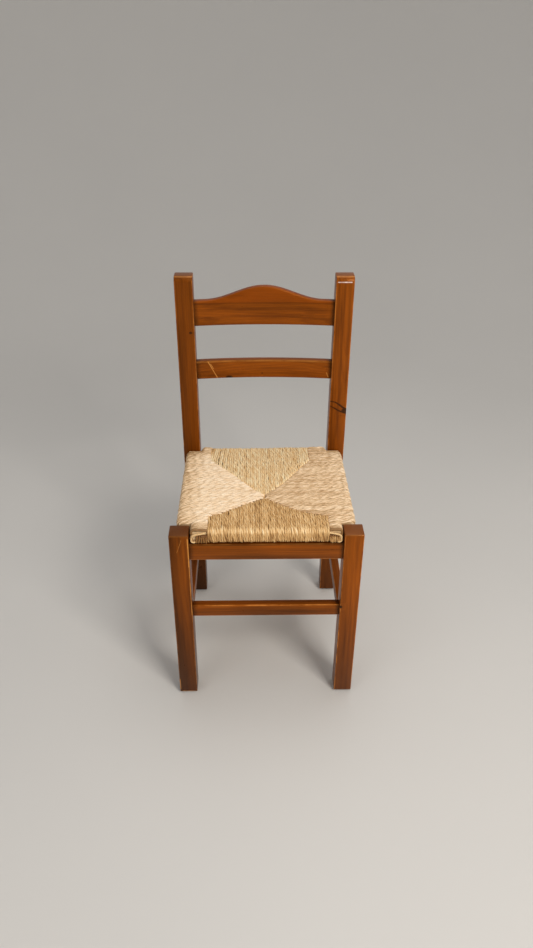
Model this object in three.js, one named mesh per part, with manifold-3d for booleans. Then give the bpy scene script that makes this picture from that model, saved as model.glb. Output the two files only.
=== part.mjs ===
// A rush-seated wooden dining chair.
//
// Millimetres, +Z up. The chair faces -Y, and left and right are as seen from in front of it.
// The origin is on the floor, under the middle of the chair's bounding box.
// Places along the depth are first given as distances behind the front legs' front faces,
// and one group then moves the whole chair so that the origin is in the middle.

import * as THREE from 'three';
import { mergeVertices } from 'three/addons/utils/BufferGeometryUtils.js';
import Module from 'manifold-3d';

const wasm = await Module();
wasm.setup();

// ---------------------------------------------------------------------------------------
// Driving dimensions
// ---------------------------------------------------------------------------------------

const FRONT_WIDTH = 409; // across the outsides of the front legs
const REAR_WIDTH = 399.5; // across the outsides of the rear posts
const LEG_SIDE = 41; // the front legs are square
const POST_DEPTH = 37; // the rear posts are as wide as the legs and a little less deep
const POST_FRONT = 369; // front face of the rear posts
const LEG_TOP = 466;
const POST_TOP = 896;
const EDGE_ROUNDING = 2; // of the long edges of legs and posts
const LEG_END_ROUNDING = 3;
const POST_TOP_ROUNDING = { front: 13, back: 4 }; // the posts' tops are rounded over at the front

const ARC_STEP = 2; // a quarter round gets one more step for each of these mm of its radius

const GLIDE_THICKNESS = 4;
const GLIDE_RADIUS = 14;

const TENON_LENGTH = 14;
const TENON_SHOULDER = 5; // how much lower a tenon is than its rail, at its top and bottom
const TENON_ROOT = 12; // how far a tenon runs back into a bowed rail
const GAP = 0.3; // clearance between pieces that touch

const RAIL_ROUNDING = 2;
const APRON = { height: 41, depth: 20, setback: 8, rearSetback: 2 };
const FRONT_STRETCHER = { height: 31, depth: 18, setback: 10, bottom: 236 };
const SIDE_STRETCHER = { height: 29, depth: 19, bottom: 174 };

const BACK_RAIL = { depth: 18, setback: 10, bow: 10, rounding: 3.5 };
const CREST = { bottom: 778.5, shoulder: 837.3, peak: 867.8, domeHalfWidth: 134 };
const MIDDLE_RAIL = { bottom: 646.5, top: 692 };

// The seat and the aprons at its sides and rear slope down towards the rear. Their heights are
// given where the slope starts, behind the front legs.
const SEAT_SLOPE = 0.025;
const SLOPE_START = LEG_SIDE;
const SEAT_BOTTOM = 438.5;
const SEAT_TOP = 472.5;
const SEAT_FRONT = 7.5;
const SEAT_REAR = 376;
const SEAT_HALF_WIDTH = 191.5;
const SEAT_ROUNDING = 8; // of the rush's long edges
const SEAT_CORNER = 11; // of the seat's corners, seen from above
const LEG_NOTCH = { halfWidth: 159.5, depth: 44 }; // the seat's front runs between the legs
const POST_NOTCH = { halfWidth: 154.5, depth: 364 }; // and its rear between the posts

const CORD_THICKNESS = 6; // the rush cord, where it is wound round the seat's rails
const SEAT_RAIL_WIDTH = 45;

const CORNER_BLOCK = { reach: 62, nose: 8, bottom: 404, top: 429 };
const SCREW = { shankRadius: 2, headRadius: 4.2, headHeight: 2.8, headChamfer: 1, intoRail: 14 };
const SCREW_PLACE = { inset: 26, behindLeg: 25, aheadOfPost: 47 };

// ---------------------------------------------------------------------------------------
// Dimensions that follow from them
// ---------------------------------------------------------------------------------------

const LEG_INNER = FRONT_WIDTH / 2 - LEG_SIDE;
const POST_INNER = REAR_WIDTH / 2 - LEG_SIDE;
const POST_BACK = POST_FRONT + POST_DEPTH;
const OVERALL_DEPTH = POST_FRONT + BACK_RAIL.setback + BACK_RAIL.depth + BACK_RAIL.bow;
const APRON_TOP = SEAT_BOTTOM - GAP;
const APRON_BOTTOM = APRON_TOP - APRON.height;
const APRON_SIDE_X = (LEG_INNER + FRONT_WIDTH / 2) / 2; // middle of a side apron
const APRON_REAR_Y = POST_FRONT + APRON.rearSetback + APRON.depth / 2;
const STRETCHER_SIDE_X = POST_INNER + LEG_SIDE / 2;
const SEAT_RAIL_BOTTOM = SEAT_BOTTOM + CORD_THICKNESS;
const SEAT_RAIL_TOP = SEAT_TOP - CORD_THICKNESS;
const SEAT_RAIL_MIDDLE = (SEAT_RAIL_BOTTOM + SEAT_RAIL_TOP) / 2;

// ---------------------------------------------------------------------------------------
// Materials
// ---------------------------------------------------------------------------------------

const stainedWood = () => new THREE.MeshStandardMaterial({ color: 0x7a4412, roughness: 0.32 });
const plainWood = () => new THREE.MeshStandardMaterial({ color: 0xc9a878, roughness: 0.7 });
const rush = () => new THREE.MeshStandardMaterial({ color: 0xd2b178, roughness: 0.75 });
const steel = () => new THREE.MeshStandardMaterial({ color: 0x8c8c90, roughness: 0.35, metalness: 1 });
const glidePlastic = () => new THREE.MeshStandardMaterial({ color: 0x2a2420, roughness: 0.6 });

// ---------------------------------------------------------------------------------------
// Solids
// ---------------------------------------------------------------------------------------

// A closed three.js geometry as a solid that can be joined and cut.
function solid(geometry) {
  geometry.deleteAttribute('normal');
  geometry.deleteAttribute('uv');
  const merged = mergeVertices(geometry);
  return new wasm.Manifold(
    new wasm.Mesh({
      numProp: 3,
      vertProperties: new Float32Array(merged.attributes.position.array),
      triVerts: new Uint32Array(merged.index.array),
    }),
  );
}

function range(x0, x1, y0, y1, z0, z1) {
  return new THREE.Box3(new THREE.Vector3(x0, y0, z0), new THREE.Vector3(x1, y1, z1));
}

function block(box) {
  const size = box.getSize(new THREE.Vector3());
  const middle = box.getCenter(new THREE.Vector3());
  return solid(new THREE.BoxGeometry(size.x, size.y, size.z).translate(middle.x, middle.y, middle.z));
}

function grown(box, by) {
  return box.clone().expandByScalar(by);
}

// A polygon with each corner rounded by the radius that its point names, or left sharp.
function roundedOutline(corners) {
  const outline = [];
  corners.forEach(([x, y, radius = 0], index) => {
    const [beforeX, beforeY] = corners[(index + corners.length - 1) % corners.length];
    const [afterX, afterY] = corners[(index + 1) % corners.length];
    const corner = new THREE.Vector2(x, y);
    if (radius === 0) {
      outline.push(corner);
      return;
    }
    const back = new THREE.Vector2(beforeX - x, beforeY - y).normalize();
    const ahead = new THREE.Vector2(afterX - x, afterY - y).normalize();
    const centre = corner.clone().addScaledVector(back, radius).addScaledVector(ahead, radius);
    const arcSteps = Math.max(3, Math.ceil(radius / ARC_STEP));
    for (let step = 0; step <= arcSteps; step += 1) {
      const angle = (step / arcSteps) * (Math.PI / 2);
      const point = centre.clone();
      point.addScaledVector(ahead, -radius * Math.cos(angle));
      point.addScaledVector(back, -radius * Math.sin(angle));
      outline.push(point);
    }
  });
  return new THREE.Shape(outline);
}

function roundedRectangle(width, height, radius) {
  const x = width / 2;
  const y = height / 2;
  return roundedOutline([[-x, -y, radius], [x, -y, radius], [x, y, radius], [-x, y, radius]]);
}

function extruded(shape, depth, bevel = {}) {
  return new THREE.ExtrudeGeometry(shape, { depth, bevelEnabled: false, ...bevel });
}

// An outline seen from above, pulled up from one height to another.
function prismUp(shape, bottom, top) {
  return solid(extruded(shape, top - bottom).translate(0, 0, bottom));
}

// A straight bar with rounded long edges, along X and centred on the origin.
function bar(length, depth, height, rounding, steps = 1) {
  const section = roundedRectangle(height, depth, rounding);
  return extruded(section, length, { steps }).translate(0, 0, -length / 2).rotateY(Math.PI / 2);
}

// Moves each point of a geometry to where shift says.
function bent(geometry, shift) {
  const points = geometry.attributes.position;
  const point = new THREE.Vector3();
  for (let index = 0; index < points.count; index += 1) {
    shift(point.fromBufferAttribute(points, index));
    points.setXYZ(index, point.x, point.y, point.z);
  }
  return geometry;
}

// How far the seat has dropped at a given depth.
function drop(y) {
  return SEAT_SLOPE * (y - SLOPE_START);
}

// Lowers each point of a solid by the seat's drop at that point, so upright faces stay upright.
function sloped(wood) {
  return wood.warp((point) => {
    point[2] -= drop(point[1]);
  });
}

// A ring of straight pieces round the Z axis, from a profile of [radius, height] points.
function turned(profile, x, y, segments = 16) {
  const points = profile.map(([radius, height]) => new THREE.Vector2(radius, height));
  return solid(new THREE.LatheGeometry(points, segments).rotateX(Math.PI / 2).translate(x, y, 0));
}

// ---------------------------------------------------------------------------------------
// The chair
// ---------------------------------------------------------------------------------------

const chair = new THREE.Group();
chair.position.y = -OVERALL_DEPTH / 2;

function add(name, manifold, material) {
  const { vertProperties, triVerts } = manifold.getMesh();
  const geometry = new THREE.BufferGeometry();
  geometry.setAttribute('position', new THREE.BufferAttribute(vertProperties, 3));
  geometry.setIndex(new THREE.BufferAttribute(triVerts, 1));
  geometry.computeVertexNormals();
  const mesh = new THREE.Mesh(geometry, material);
  mesh.name = name;
  chair.add(mesh);
}

const sides = [
  { side: 'left', sign: -1 },
  { side: 'right', sign: 1 },
];
const corners = sides.flatMap(({ side, sign }) => [
  { corner: `front_${side}`, sign, front: true },
  { corner: `rear_${side}`, sign, front: false },
]);

const tenons = []; // every tenon's box: the legs and posts are cut for them at the end
const slopedTenons = []; // the boxes, before they are sloped, of the tenons that slope with the seat

// A straight rail with a tenon at each end. Its length runs along X, between two faces that are
// halfSpan from the middle; turned a quarter, it runs along Y.
function rail({ halfSpan, depth, height, alongY = false, x = 0, y = 0, bottom, slopes = false }) {
  const z = bottom + height / 2;
  const body = halfSpan - GAP;
  const tenonHalfDepth = depth / 4;
  const tenonHalfHeight = height / 2 - TENON_SHOULDER;
  const place = (geometry) => {
    if (alongY) geometry.rotateZ(Math.PI / 2);
    return solid(geometry.translate(x, y, z));
  };
  const reach = halfSpan + TENON_LENGTH;
  const tongue = new THREE.BoxGeometry(2 * reach, 2 * tenonHalfDepth, 2 * tenonHalfHeight);
  const [reachX, reachY] = alongY ? [tenonHalfDepth, reach] : [reach, tenonHalfDepth];
  const [lowZ, highZ] = [z - tenonHalfHeight, z + tenonHalfHeight];
  const tenon = range(x - reachX, x + reachX, y - reachY, y + reachY, lowZ, highZ);
  (slopes ? slopedTenons : tenons).push(tenon);
  const joined = place(bar(2 * body, depth, height, RAIL_ROUNDING)).add(place(tongue));
  return slopes ? sloped(joined) : joined;
}

function addAprons() {
  const front = { depth: APRON.depth, height: APRON.height, bottom: APRON_BOTTOM };
  const frontY = APRON.setback + APRON.depth / 2;
  add('front_apron', rail({ ...front, halfSpan: LEG_INNER, y: frontY }), stainedWood());
  const rear = { ...front, bottom: APRON_BOTTOM - drop(APRON_REAR_Y) };
  add('rear_apron', rail({ ...rear, halfSpan: POST_INNER, y: APRON_REAR_Y }), stainedWood());
  for (const { side, sign } of sides) {
    const span = POST_FRONT - LEG_SIDE;
    const along = { halfSpan: span / 2, alongY: true, y: LEG_SIDE + span / 2, slopes: true };
    const apron = { ...front, ...along };
    add(`side_apron_${side}`, rail({ ...apron, x: sign * APRON_SIDE_X }), stainedWood());
  }
}

function addStretchers() {
  const { height, depth, setback, bottom } = FRONT_STRETCHER;
  const front = { height, depth, bottom };
  add('front_stretcher', rail({ ...front, halfSpan: LEG_INNER, y: setback + depth / 2 }), stainedWood());
  const rearY = POST_FRONT + POST_DEPTH / 2;
  add('rear_stretcher', rail({ ...front, halfSpan: POST_INNER, y: rearY }), stainedWood());
  for (const { side, sign } of sides) {
    const span = POST_FRONT - LEG_SIDE;
    const stretcher = { ...SIDE_STRETCHER, halfSpan: span / 2, alongY: true, y: LEG_SIDE + span / 2 };
    add(`side_stretcher_${side}`, rail({ ...stretcher, x: sign * STRETCHER_SIDE_X }), stainedWood());
  }
}

// A back rail bows backwards between the posts, and its top edge rises by lift(x) above the ends.
function backRail(bottom, top, lift) {
  const steps = 48;
  const middle = (bottom + top) / 2;
  const middleY = POST_FRONT + BACK_RAIL.setback + BACK_RAIL.depth / 2;
  const straight = bar(2 * (POST_INNER - GAP), BACK_RAIL.depth, top - bottom, BACK_RAIL.rounding, steps);
  straight.translate(0, middleY, middle);
  const shaped = bent(straight, (point) => {
    point.y += BACK_RAIL.bow * (1 - (point.x / POST_INNER) ** 2);
    if (point.z > middle) point.z += lift(point.x);
  });
  return backRailTenons(bottom, top).reduce((joined, tenon) => joined.add(tenon), solid(shaped));
}

// The dome in the middle of the crest rail, which runs out in a hollow curve at each side.
function domeLift(x) {
  if (Math.abs(x) >= CREST.domeHalfWidth) return 0;
  return ((CREST.peak - CREST.shoulder) / 2) * (1 + Math.cos((Math.PI * x) / CREST.domeHalfWidth));
}

function backRailTenons(bottom, top) {
  const middleY = POST_FRONT + BACK_RAIL.setback + BACK_RAIL.depth / 2;
  const [frontY, backY] = [middleY - BACK_RAIL.depth / 4, middleY + BACK_RAIL.depth / 4];
  return sides.map(({ sign }) => {
    const ends = [sign * (POST_INNER - TENON_ROOT), sign * (POST_INNER + TENON_LENGTH)];
    const [left, right] = ends.sort((a, b) => a - b);
    const box = range(left, right, frontY, backY, bottom + TENON_SHOULDER, top - TENON_SHOULDER);
    tenons.push(box);
    return block(box);
  });
}

function addBackRails() {
  const flat = () => 0;
  add('crest_rail', backRail(CREST.bottom, CREST.shoulder, domeLift), stainedWood());
  add('middle_rail', backRail(MIDDLE_RAIL.bottom, MIDDLE_RAIL.top, flat), stainedWood());
}

// Where each leg or post stands, and where its glide is nailed on.
function footCentre({ sign, front }) {
  const x = sign * (front ? LEG_INNER + LEG_SIDE / 2 : POST_INNER + LEG_SIDE / 2);
  const y = front ? LEG_SIDE / 2 : POST_FRONT + POST_DEPTH / 2;
  return { x, y };
}

// A foot glide: a plastic disc with a domed rim, and the nail that holds it in the leg's end.
function glideProfile(clearance) {
  const rim = 1;
  const nailRadius = 1.5 + clearance;
  const nailTop = GLIDE_THICKNESS + 15 + clearance;
  const seat = GLIDE_THICKNESS - GAP;
  return [
    [0, 0],
    [GLIDE_RADIUS - rim, 0],
    [GLIDE_RADIUS, rim],
    [GLIDE_RADIUS, seat],
    [nailRadius, seat],
    [nailRadius, nailTop],
    [0, nailTop],
  ];
}

// A leg's or post's outline from the side, as [depth, height] corners with their roundings.
function sideOutline(front) {
  const bottom = GLIDE_THICKNESS;
  const end = LEG_END_ROUNDING;
  if (front) return [[0, bottom, end], [LEG_SIDE, bottom, end], [LEG_SIDE, LEG_TOP, end], [0, LEG_TOP, end]];
  return [
    [POST_FRONT, bottom, end],
    [POST_BACK, bottom, end],
    [POST_BACK, POST_TOP, POST_TOP_ROUNDING.back],
    [POST_FRONT, POST_TOP, POST_TOP_ROUNDING.front],
  ];
}

// That outline pulled out across the chair, with all its edges rounded.
function upright(front, x) {
  const bevel = {
    bevelEnabled: true,
    bevelThickness: EDGE_ROUNDING,
    bevelSize: EDGE_ROUNDING,
    bevelOffset: -EDGE_ROUNDING,
    bevelSegments: 3,
  };
  const straight = LEG_SIDE - 2 * EDGE_ROUNDING;
  const side = extruded(roundedOutline(sideOutline(front)), straight, bevel).translate(0, 0, -straight / 2);
  // The outline's two directions, depth and height, are set along Y and Z, and its width along X.
  return solid(side.rotateX(Math.PI / 2).rotateZ(Math.PI / 2).translate(x, 0, 0));
}

function addLegsAndGlides() {
  const straight = tenons.map((tenon) => block(grown(tenon, GAP)));
  const mortises = straight.concat(slopedTenons.map((tenon) => sloped(block(grown(tenon, GAP)))));
  for (const place of corners) {
    const { x, y } = footCentre(place);
    const drilled = upright(place.front, x).subtract(turned(glideProfile(GAP), x, y));
    const leg = mortises.reduce((wood, mortise) => wood.subtract(mortise), drilled);
    const name = place.front ? 'front_leg' : 'rear_post';
    add(`${name}_${place.sign < 0 ? 'left' : 'right'}`, leg, stainedWood());
    add(`foot_glide_${place.corner}`, turned(glideProfile(0), x, y), glidePlastic());
  }
}

// ---------------------------------------------------------------------------------------
// The seat: four rails lapped at the corners, with rush wound round them
// ---------------------------------------------------------------------------------------

// The seat from above, notched at the legs and posts. inset is how far the rush stands out beyond
// the outline at its four long edges, and corner is the radius of the outer corners.
function seatOutline(inset, corner) {
  const front = SEAT_FRONT + inset;
  const rear = SEAT_REAR - inset;
  const side = SEAT_HALF_WIDTH - inset;
  const right = [
    [LEG_NOTCH.halfWidth, front, corner],
    [LEG_NOTCH.halfWidth, LEG_NOTCH.depth],
    [side, LEG_NOTCH.depth, corner],
    [side, POST_NOTCH.depth, corner],
    [POST_NOTCH.halfWidth, POST_NOTCH.depth],
    [POST_NOTCH.halfWidth, rear, corner],
  ];
  const left = right.map(([x, y, radius]) => [-x, y, radius]).reverse();
  return roundedOutline([...right, ...left]);
}

const railOuterX = SEAT_HALF_WIDTH - CORD_THICKNESS;
const railInnerX = railOuterX - SEAT_RAIL_WIDTH;
const railFrontY = SEAT_FRONT + CORD_THICKNESS;
const railRearY = SEAT_REAR - CORD_THICKNESS;
const frontLap = range(-railOuterX, railOuterX, railFrontY, railFrontY + SEAT_RAIL_WIDTH, 0, SEAT_TOP);
const rearLap = range(-railOuterX, railOuterX, railRearY - SEAT_RAIL_WIDTH, railRearY, 0, SEAT_TOP);

// A side rail's strip of the seat frame, with its full length.
function sideStrip(sign, fromInner = 0) {
  const [near, far] = [sign * (railInnerX - fromInner), sign * railOuterX].sort((a, b) => a - b);
  return range(near, far, railFrontY, railRearY, 0, SEAT_TOP);
}

// The front and rear rails keep their upper half where they cross the side rails.
function crossRail(strip, frame, lowerHalf) {
  const laps = sides.map(({ sign }) => block(sideStrip(sign, GAP)).intersect(lowerHalf));
  return laps.reduce((wood, lap) => wood.subtract(lap), frame.intersect(block(strip)));
}

function addSeatRails(screwHoles) {
  const frame = prismUp(seatOutline(CORD_THICKNESS, 0), SEAT_RAIL_BOTTOM, SEAT_RAIL_TOP);
  const wide = FRONT_WIDTH;
  const lower = block(range(-wide, wide, -wide, 2 * wide, 0, SEAT_RAIL_MIDDLE + GAP / 2));
  const upper = block(range(-wide, wide, -wide, 2 * wide, SEAT_RAIL_MIDDLE - GAP / 2, SEAT_TOP));
  const drilled = (wood) => screwHoles.reduce((rest, hole) => rest.subtract(hole), wood);
  add('seat_rail_front', drilled(sloped(crossRail(frontLap, frame, lower))), plainWood());
  add('seat_rail_rear', drilled(sloped(crossRail(rearLap, frame, lower))), plainWood());
  for (const { side, sign } of sides) {
    const strip = frame.intersect(block(sideStrip(sign)));
    const halved = [frontLap, rearLap].reduce(
      (wood, lap) => wood.subtract(block(grown(lap, GAP)).intersect(upper)),
      strip,
    );
    add(`seat_rail_${side}`, drilled(sloped(halved)), plainWood());
  }
}

// The rush as one solid: a slab with rounded edges, hollow where the rails run. The hollow is open
// in the notches, where the rails' ends show.
function addRush(screwHoles) {
  const bevel = {
    bevelEnabled: true,
    bevelThickness: SEAT_ROUNDING,
    bevelSize: SEAT_ROUNDING,
    bevelOffset: -SEAT_ROUNDING,
    bevelSegments: 4,
  };
  const straight = SEAT_TOP - SEAT_BOTTOM - 2 * SEAT_ROUNDING;
  const slab = extruded(seatOutline(0, SEAT_CORNER), straight, bevel);
  slab.translate(0, 0, SEAT_BOTTOM + SEAT_ROUNDING);
  const ring = prismUp(seatOutline(CORD_THICKNESS, 0), SEAT_RAIL_BOTTOM - GAP, SEAT_RAIL_TOP + GAP);
  const opening = range(
    GAP - railInnerX,
    railInnerX - GAP,
    railFrontY + SEAT_RAIL_WIDTH + GAP,
    railRearY - SEAT_RAIL_WIDTH - GAP,
    0,
    2 * SEAT_TOP,
  );
  const hollow = outwards(ring, GAP).subtract(block(opening));
  const wound = sloped(solid(slab).subtract(hollow));
  add('rush_seat', screwHoles.reduce((rest, hole) => rest.subtract(hole), wound), rush());
}

// The same solid with each of its upright faces moved out by a small distance.
function outwards(ring, distance) {
  const shifts = [[1, 0], [-1, 0], [0, 1], [0, -1], [1, 1], [1, -1], [-1, 1], [-1, -1]];
  const moved = shifts.map(([x, y]) => ring.translate([x * distance, y * distance, 0]));
  return moved.reduce((whole, copy) => whole.add(copy), ring);
}

// ---------------------------------------------------------------------------------------
// Corner blocks under the seat, and the screws that hold the seat down on them
// ---------------------------------------------------------------------------------------

function blockOutline({ sign, front }) {
  const apronX = APRON_SIDE_X - APRON.depth / 2 - GAP;
  const towardsMiddle = front ? 1 : -1;
  const uprightX = (front ? LEG_INNER : POST_INNER) - GAP;
  const uprightY = front ? LEG_SIDE + GAP : POST_FRONT - GAP;
  const apronY = front ? APRON.setback + APRON.depth + GAP : APRON_REAR_Y - APRON.depth / 2 - GAP;
  const points = [
    [uprightX, apronY],
    [uprightX, uprightY],
    [apronX, uprightY],
    [apronX, uprightY + towardsMiddle * CORNER_BLOCK.reach],
    [apronX - CORNER_BLOCK.nose, uprightY + towardsMiddle * CORNER_BLOCK.reach],
    [uprightX - CORNER_BLOCK.reach, apronY + towardsMiddle * CORNER_BLOCK.nose],
    [uprightX - CORNER_BLOCK.reach, apronY],
  ];
  return new THREE.Shape(points.map(([x, y]) => new THREE.Vector2(sign * x, y)));
}

function screwPlace({ sign, front }) {
  const x = sign * (railOuterX - SCREW_PLACE.inset);
  const y = front ? LEG_NOTCH.depth + SCREW_PLACE.behindLeg : POST_NOTCH.depth - SCREW_PLACE.aheadOfPost;
  return { x, y };
}

// A screw's profile, for one that stands at the depth y.
function screwProfile(y, clearance) {
  const { shankRadius, headRadius, headHeight, headChamfer, intoRail } = SCREW;
  const headTop = CORNER_BLOCK.bottom - drop(y) - GAP;
  const tip = SEAT_RAIL_BOTTOM - drop(y) + intoRail + clearance;
  const shank = shankRadius + clearance;
  return [
    [0, headTop - headHeight],
    [headRadius - headChamfer, headTop - headHeight],
    [headRadius, headTop - headHeight + headChamfer],
    [headRadius, headTop],
    [shank, headTop],
    [shank, tip - shank],
    [0, tip],
  ];
}

function addBlocksAndScrews(screwHoles) {
  corners.forEach((place, index) => {
    const { x, y } = screwPlace(place);
    const body = sloped(prismUp(blockOutline(place), CORNER_BLOCK.bottom, CORNER_BLOCK.top));
    add(`corner_block_${place.corner}`, body.subtract(screwHoles[index]), plainWood());
    add(`seat_screw_${place.corner}`, turned(screwProfile(y, 0), x, y, 12), steel());
  });
}

const screwHoles = corners.map((place) => {
  const { x, y } = screwPlace(place);
  return turned(screwProfile(y, GAP), x, y, 12);
});

addAprons();
addStretchers();
addBackRails();
addLegsAndGlides();
addSeatRails(screwHoles);
addRush(screwHoles);
addBlocksAndScrews(screwHoles);

export default chair;
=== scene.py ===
"""Looks of a rush-seated wooden dining chair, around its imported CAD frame.

Everything is in metres, in the frame's own axes: +Z up, and the chair faces -Y.
The wood is the CAD's own solids with stained pine on them. The seat is wound here, cord by
cord, over the seat's rails.
"""

import math
import random

import bpy
import numpy as np
from mathutils import Matrix, Vector


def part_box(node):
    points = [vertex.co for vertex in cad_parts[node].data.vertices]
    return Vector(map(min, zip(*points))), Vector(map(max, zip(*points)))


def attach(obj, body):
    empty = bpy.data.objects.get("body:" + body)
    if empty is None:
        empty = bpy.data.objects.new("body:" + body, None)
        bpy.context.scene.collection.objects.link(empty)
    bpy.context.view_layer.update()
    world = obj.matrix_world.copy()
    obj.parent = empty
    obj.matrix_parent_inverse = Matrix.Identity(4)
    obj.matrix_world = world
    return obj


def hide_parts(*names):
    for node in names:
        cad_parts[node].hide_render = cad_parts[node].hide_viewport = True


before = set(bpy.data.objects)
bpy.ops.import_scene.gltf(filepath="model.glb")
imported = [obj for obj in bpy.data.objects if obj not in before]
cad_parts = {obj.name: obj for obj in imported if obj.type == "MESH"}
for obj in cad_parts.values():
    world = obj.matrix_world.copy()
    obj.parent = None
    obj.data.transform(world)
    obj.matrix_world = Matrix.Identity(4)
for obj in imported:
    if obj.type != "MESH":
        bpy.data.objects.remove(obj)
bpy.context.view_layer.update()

BODY = "root"
MM = 0.001
LEG_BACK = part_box("front_leg_right")[1][1]
LEG_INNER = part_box("front_leg_right")[0][0]
POST_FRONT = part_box("rear_post_right")[0][1]
POST_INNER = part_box("rear_post_right")[0][0]


def add_object(name, data):
    made = bpy.data.objects.new(name, data)
    bpy.context.scene.collection.objects.link(made)
    return made


def add_mesh(name, points, faces, material):
    mesh = bpy.data.meshes.new(name)
    mesh.from_pydata(points, [], faces)
    mesh.shade_smooth()
    mesh.materials.append(material)
    return add_object(name, mesh)


# ---- Camera ----

CAMERA_PLACE = (-0.0284, -1.4510, 1.3939)
CAMERA_TILT = 31.9  # degrees below level
CAMERA_YAW = 1.25  # degrees to the right
CAMERA_ROLL = 0.34
LENS = 28.36
SENSOR = 36.0  # along the picture's long, upright side


def make_camera():
    data = bpy.data.cameras.new("camera")
    data.lens = LENS
    data.sensor_width = SENSOR
    camera = add_object("camera", data)
    camera.matrix_world = (
        Matrix.Translation(CAMERA_PLACE)
        @ Matrix.Rotation(-math.radians(CAMERA_YAW), 4, "Z")
        @ Matrix.Rotation(math.radians(90 - CAMERA_TILT), 4, "X")
        @ Matrix.Rotation(math.radians(CAMERA_ROLL), 4, "Z")
    )
    bpy.context.scene.camera = camera


# ---- Node trees ----


class Tree:
    """A short way to write a material's nodes: each call adds some and returns their output."""

    def __init__(self, name):
        self.material = bpy.data.materials.new(name)
        self.material.use_nodes = True
        self.nodes = self.material.node_tree.nodes
        self.links = self.material.node_tree.links

    def put(self, socket, value):
        if isinstance(value, bpy.types.NodeSocket):
            self.links.new(value, socket)
        else:
            socket.default_value = value

    def surface(self, values):
        """Fills the shader's sockets, given by their names, and returns the material."""
        for name, value in values.items():
            self.put(self.nodes["Principled BSDF"].inputs[name], value)
        return self.material

    def node(self, kind, inputs=None, output=0, **settings):
        made = self.nodes.new(f"ShaderNode{kind}")
        for key, value in settings.items():
            setattr(made, key, value)
        for key, value in (inputs or {}).items():
            self.put(made.inputs[key], value)
        return made.outputs[output]

    def position(self):
        """The place of the point on the surface, in the frame's axes."""
        return self.node("TexCoord", output="Object")

    def part(self, vector, index):
        return self.node("SeparateXYZ", {0: vector}, index)

    def math(self, operation, a, b=0.0, c=0.0):
        return self.node("Math", {0: a, 1: b, 2: c}, operation=operation)

    def product(self, whole, *others):
        for other in others:
            whole = self.math("MULTIPLY", whole, other)
        return whole

    def strayed(self, value, noise, amount):
        """A value that the noise moves up and down, by half the amount at most."""
        return self.math("MULTIPLY_ADD", self.math("SUBTRACT", noise, 0.5), amount, value)

    def strongest(self, masks):
        whole = masks[0]
        for mask in masks[1:]:
            whole = self.math("MAXIMUM", whole, mask)
        return whole

    def vector(self, operation, a, b=(0, 0, 0), output=0):
        return self.node("VectorMath", {0: a, 1: b}, output, operation=operation)

    def noise(self, vector, waves, detail, roughness=0.5, offset=None):
        """Noise with about so many waves to the metre along each of the vector's axes."""
        vector = self.vector("MULTIPLY", vector, waves)
        if offset is not None:
            vector = self.vector("ADD", vector, offset)
        inputs = {"Vector": vector, "Scale": 1.0, "Detail": detail, "Roughness": roughness}
        return self.node("TexNoise", inputs, "Fac")

    def remap(self, value, low, high, to_low=0.0, to_high=1.0, smooth=False):
        inputs = {"Value": value, "From Min": low, "From Max": high, "To Min": to_low, "To Max": to_high}
        kind = "SMOOTHSTEP" if smooth else "LINEAR"
        return self.node("MapRange", inputs, "Result", interpolation_type=kind)

    def ramp(self, value, stops):
        made = self.nodes.new("ShaderNodeValToRGB")
        elements = made.color_ramp.elements
        for index, (place, colour) in enumerate(stops):
            element = elements[index] if index < 2 else elements.new(place)
            element.position = place
            element.color = (*colour, 1.0)
        self.links.new(value, made.inputs["Fac"])
        return made.outputs["Color"]

    def mix(self, factor, a, b, blend="MIX"):
        made = self.nodes.new("ShaderNodeMix")
        made.data_type = "RGBA"
        made.blend_type = blend
        for key, value in ((0, factor), (6, a), (7, b)):
            value = (*value, 1.0) if isinstance(value, tuple) and len(value) == 3 else value
            self.put(made.inputs[key], value)
        return made.outputs[2]

    def shaded(self, colour, red, green, blue):
        """A colour times a brightness for each of its channels."""
        spread = self.node("CombineXYZ", {0: red, 1: green, 2: blue})
        return self.mix(1.0, colour, spread, "MULTIPLY")

    def bump(self, height, distance, strength):
        inputs = {"Height": height, "Distance": distance, "Strength": strength}
        return self.node("Bump", inputs)


def linear(red, green, blue):
    """An sRGB colour, given as 0 to 255, as the linear colour that Blender takes."""

    def channel(value):
        value /= 255
        return value / 12.92 if value <= 0.04045 else ((value + 0.055) / 1.055) ** 2.4

    return (channel(red), channel(green), channel(blue))


def times(colour, factor):
    return tuple(channel * factor for channel in colour)


# ---- Stained pine ----

EARLY_WOOD = linear(126, 62, 9)
LATE_WOOD = linear(98, 43, 6)
DARK_STREAK = linear(70, 28, 4)
DOME_WOOD = linear(122, 53, 4)
WORN_WOOD = linear(186, 116, 50)
END_GRAIN = linear(104, 58, 27)
KNOT_DARK = linear(38, 17, 8)
SCRATCH_PALE = linear(196, 132, 62)
# A painted highlight: light caught on the right post's rounded top edge.
PAINTED_GLINT = linear(232, 212, 202)
GLOSS_TINT = (1.0, 0.42, 0.1, 1.0)  # the stain also colours what the lacquer reflects

GRAIN_ALONG = {
    "X": Matrix.Rotation(math.radians(90), 3, "Y"),
    "Y": Matrix.Rotation(math.radians(90), 3, "X"),
    "Z": Matrix.Identity(3),
}
RING_SPACING = 4.2 * MM
RING_WANDER = 20 * MM  # how far the rings stray along the grain
KNOT_SWIRL = 10 * MM  # how far a knot pushes the rings round it
EDGE_WEAR = 2.6 * MM  # how far from a piece's long edges the lacquer is worn
JOINT_REACH = 13 * MM  # how far from its joints a rail is darker
JOINT_SHADE = 0.4  # the least brightness there
DOME_LINE_SHADE = 0.66  # the least brightness of the line below the crest's dome

RAIL_SETBACK = 10 * MM  # of the back rails' ends behind the posts' front
RAIL_BOW = 10 * MM
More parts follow.
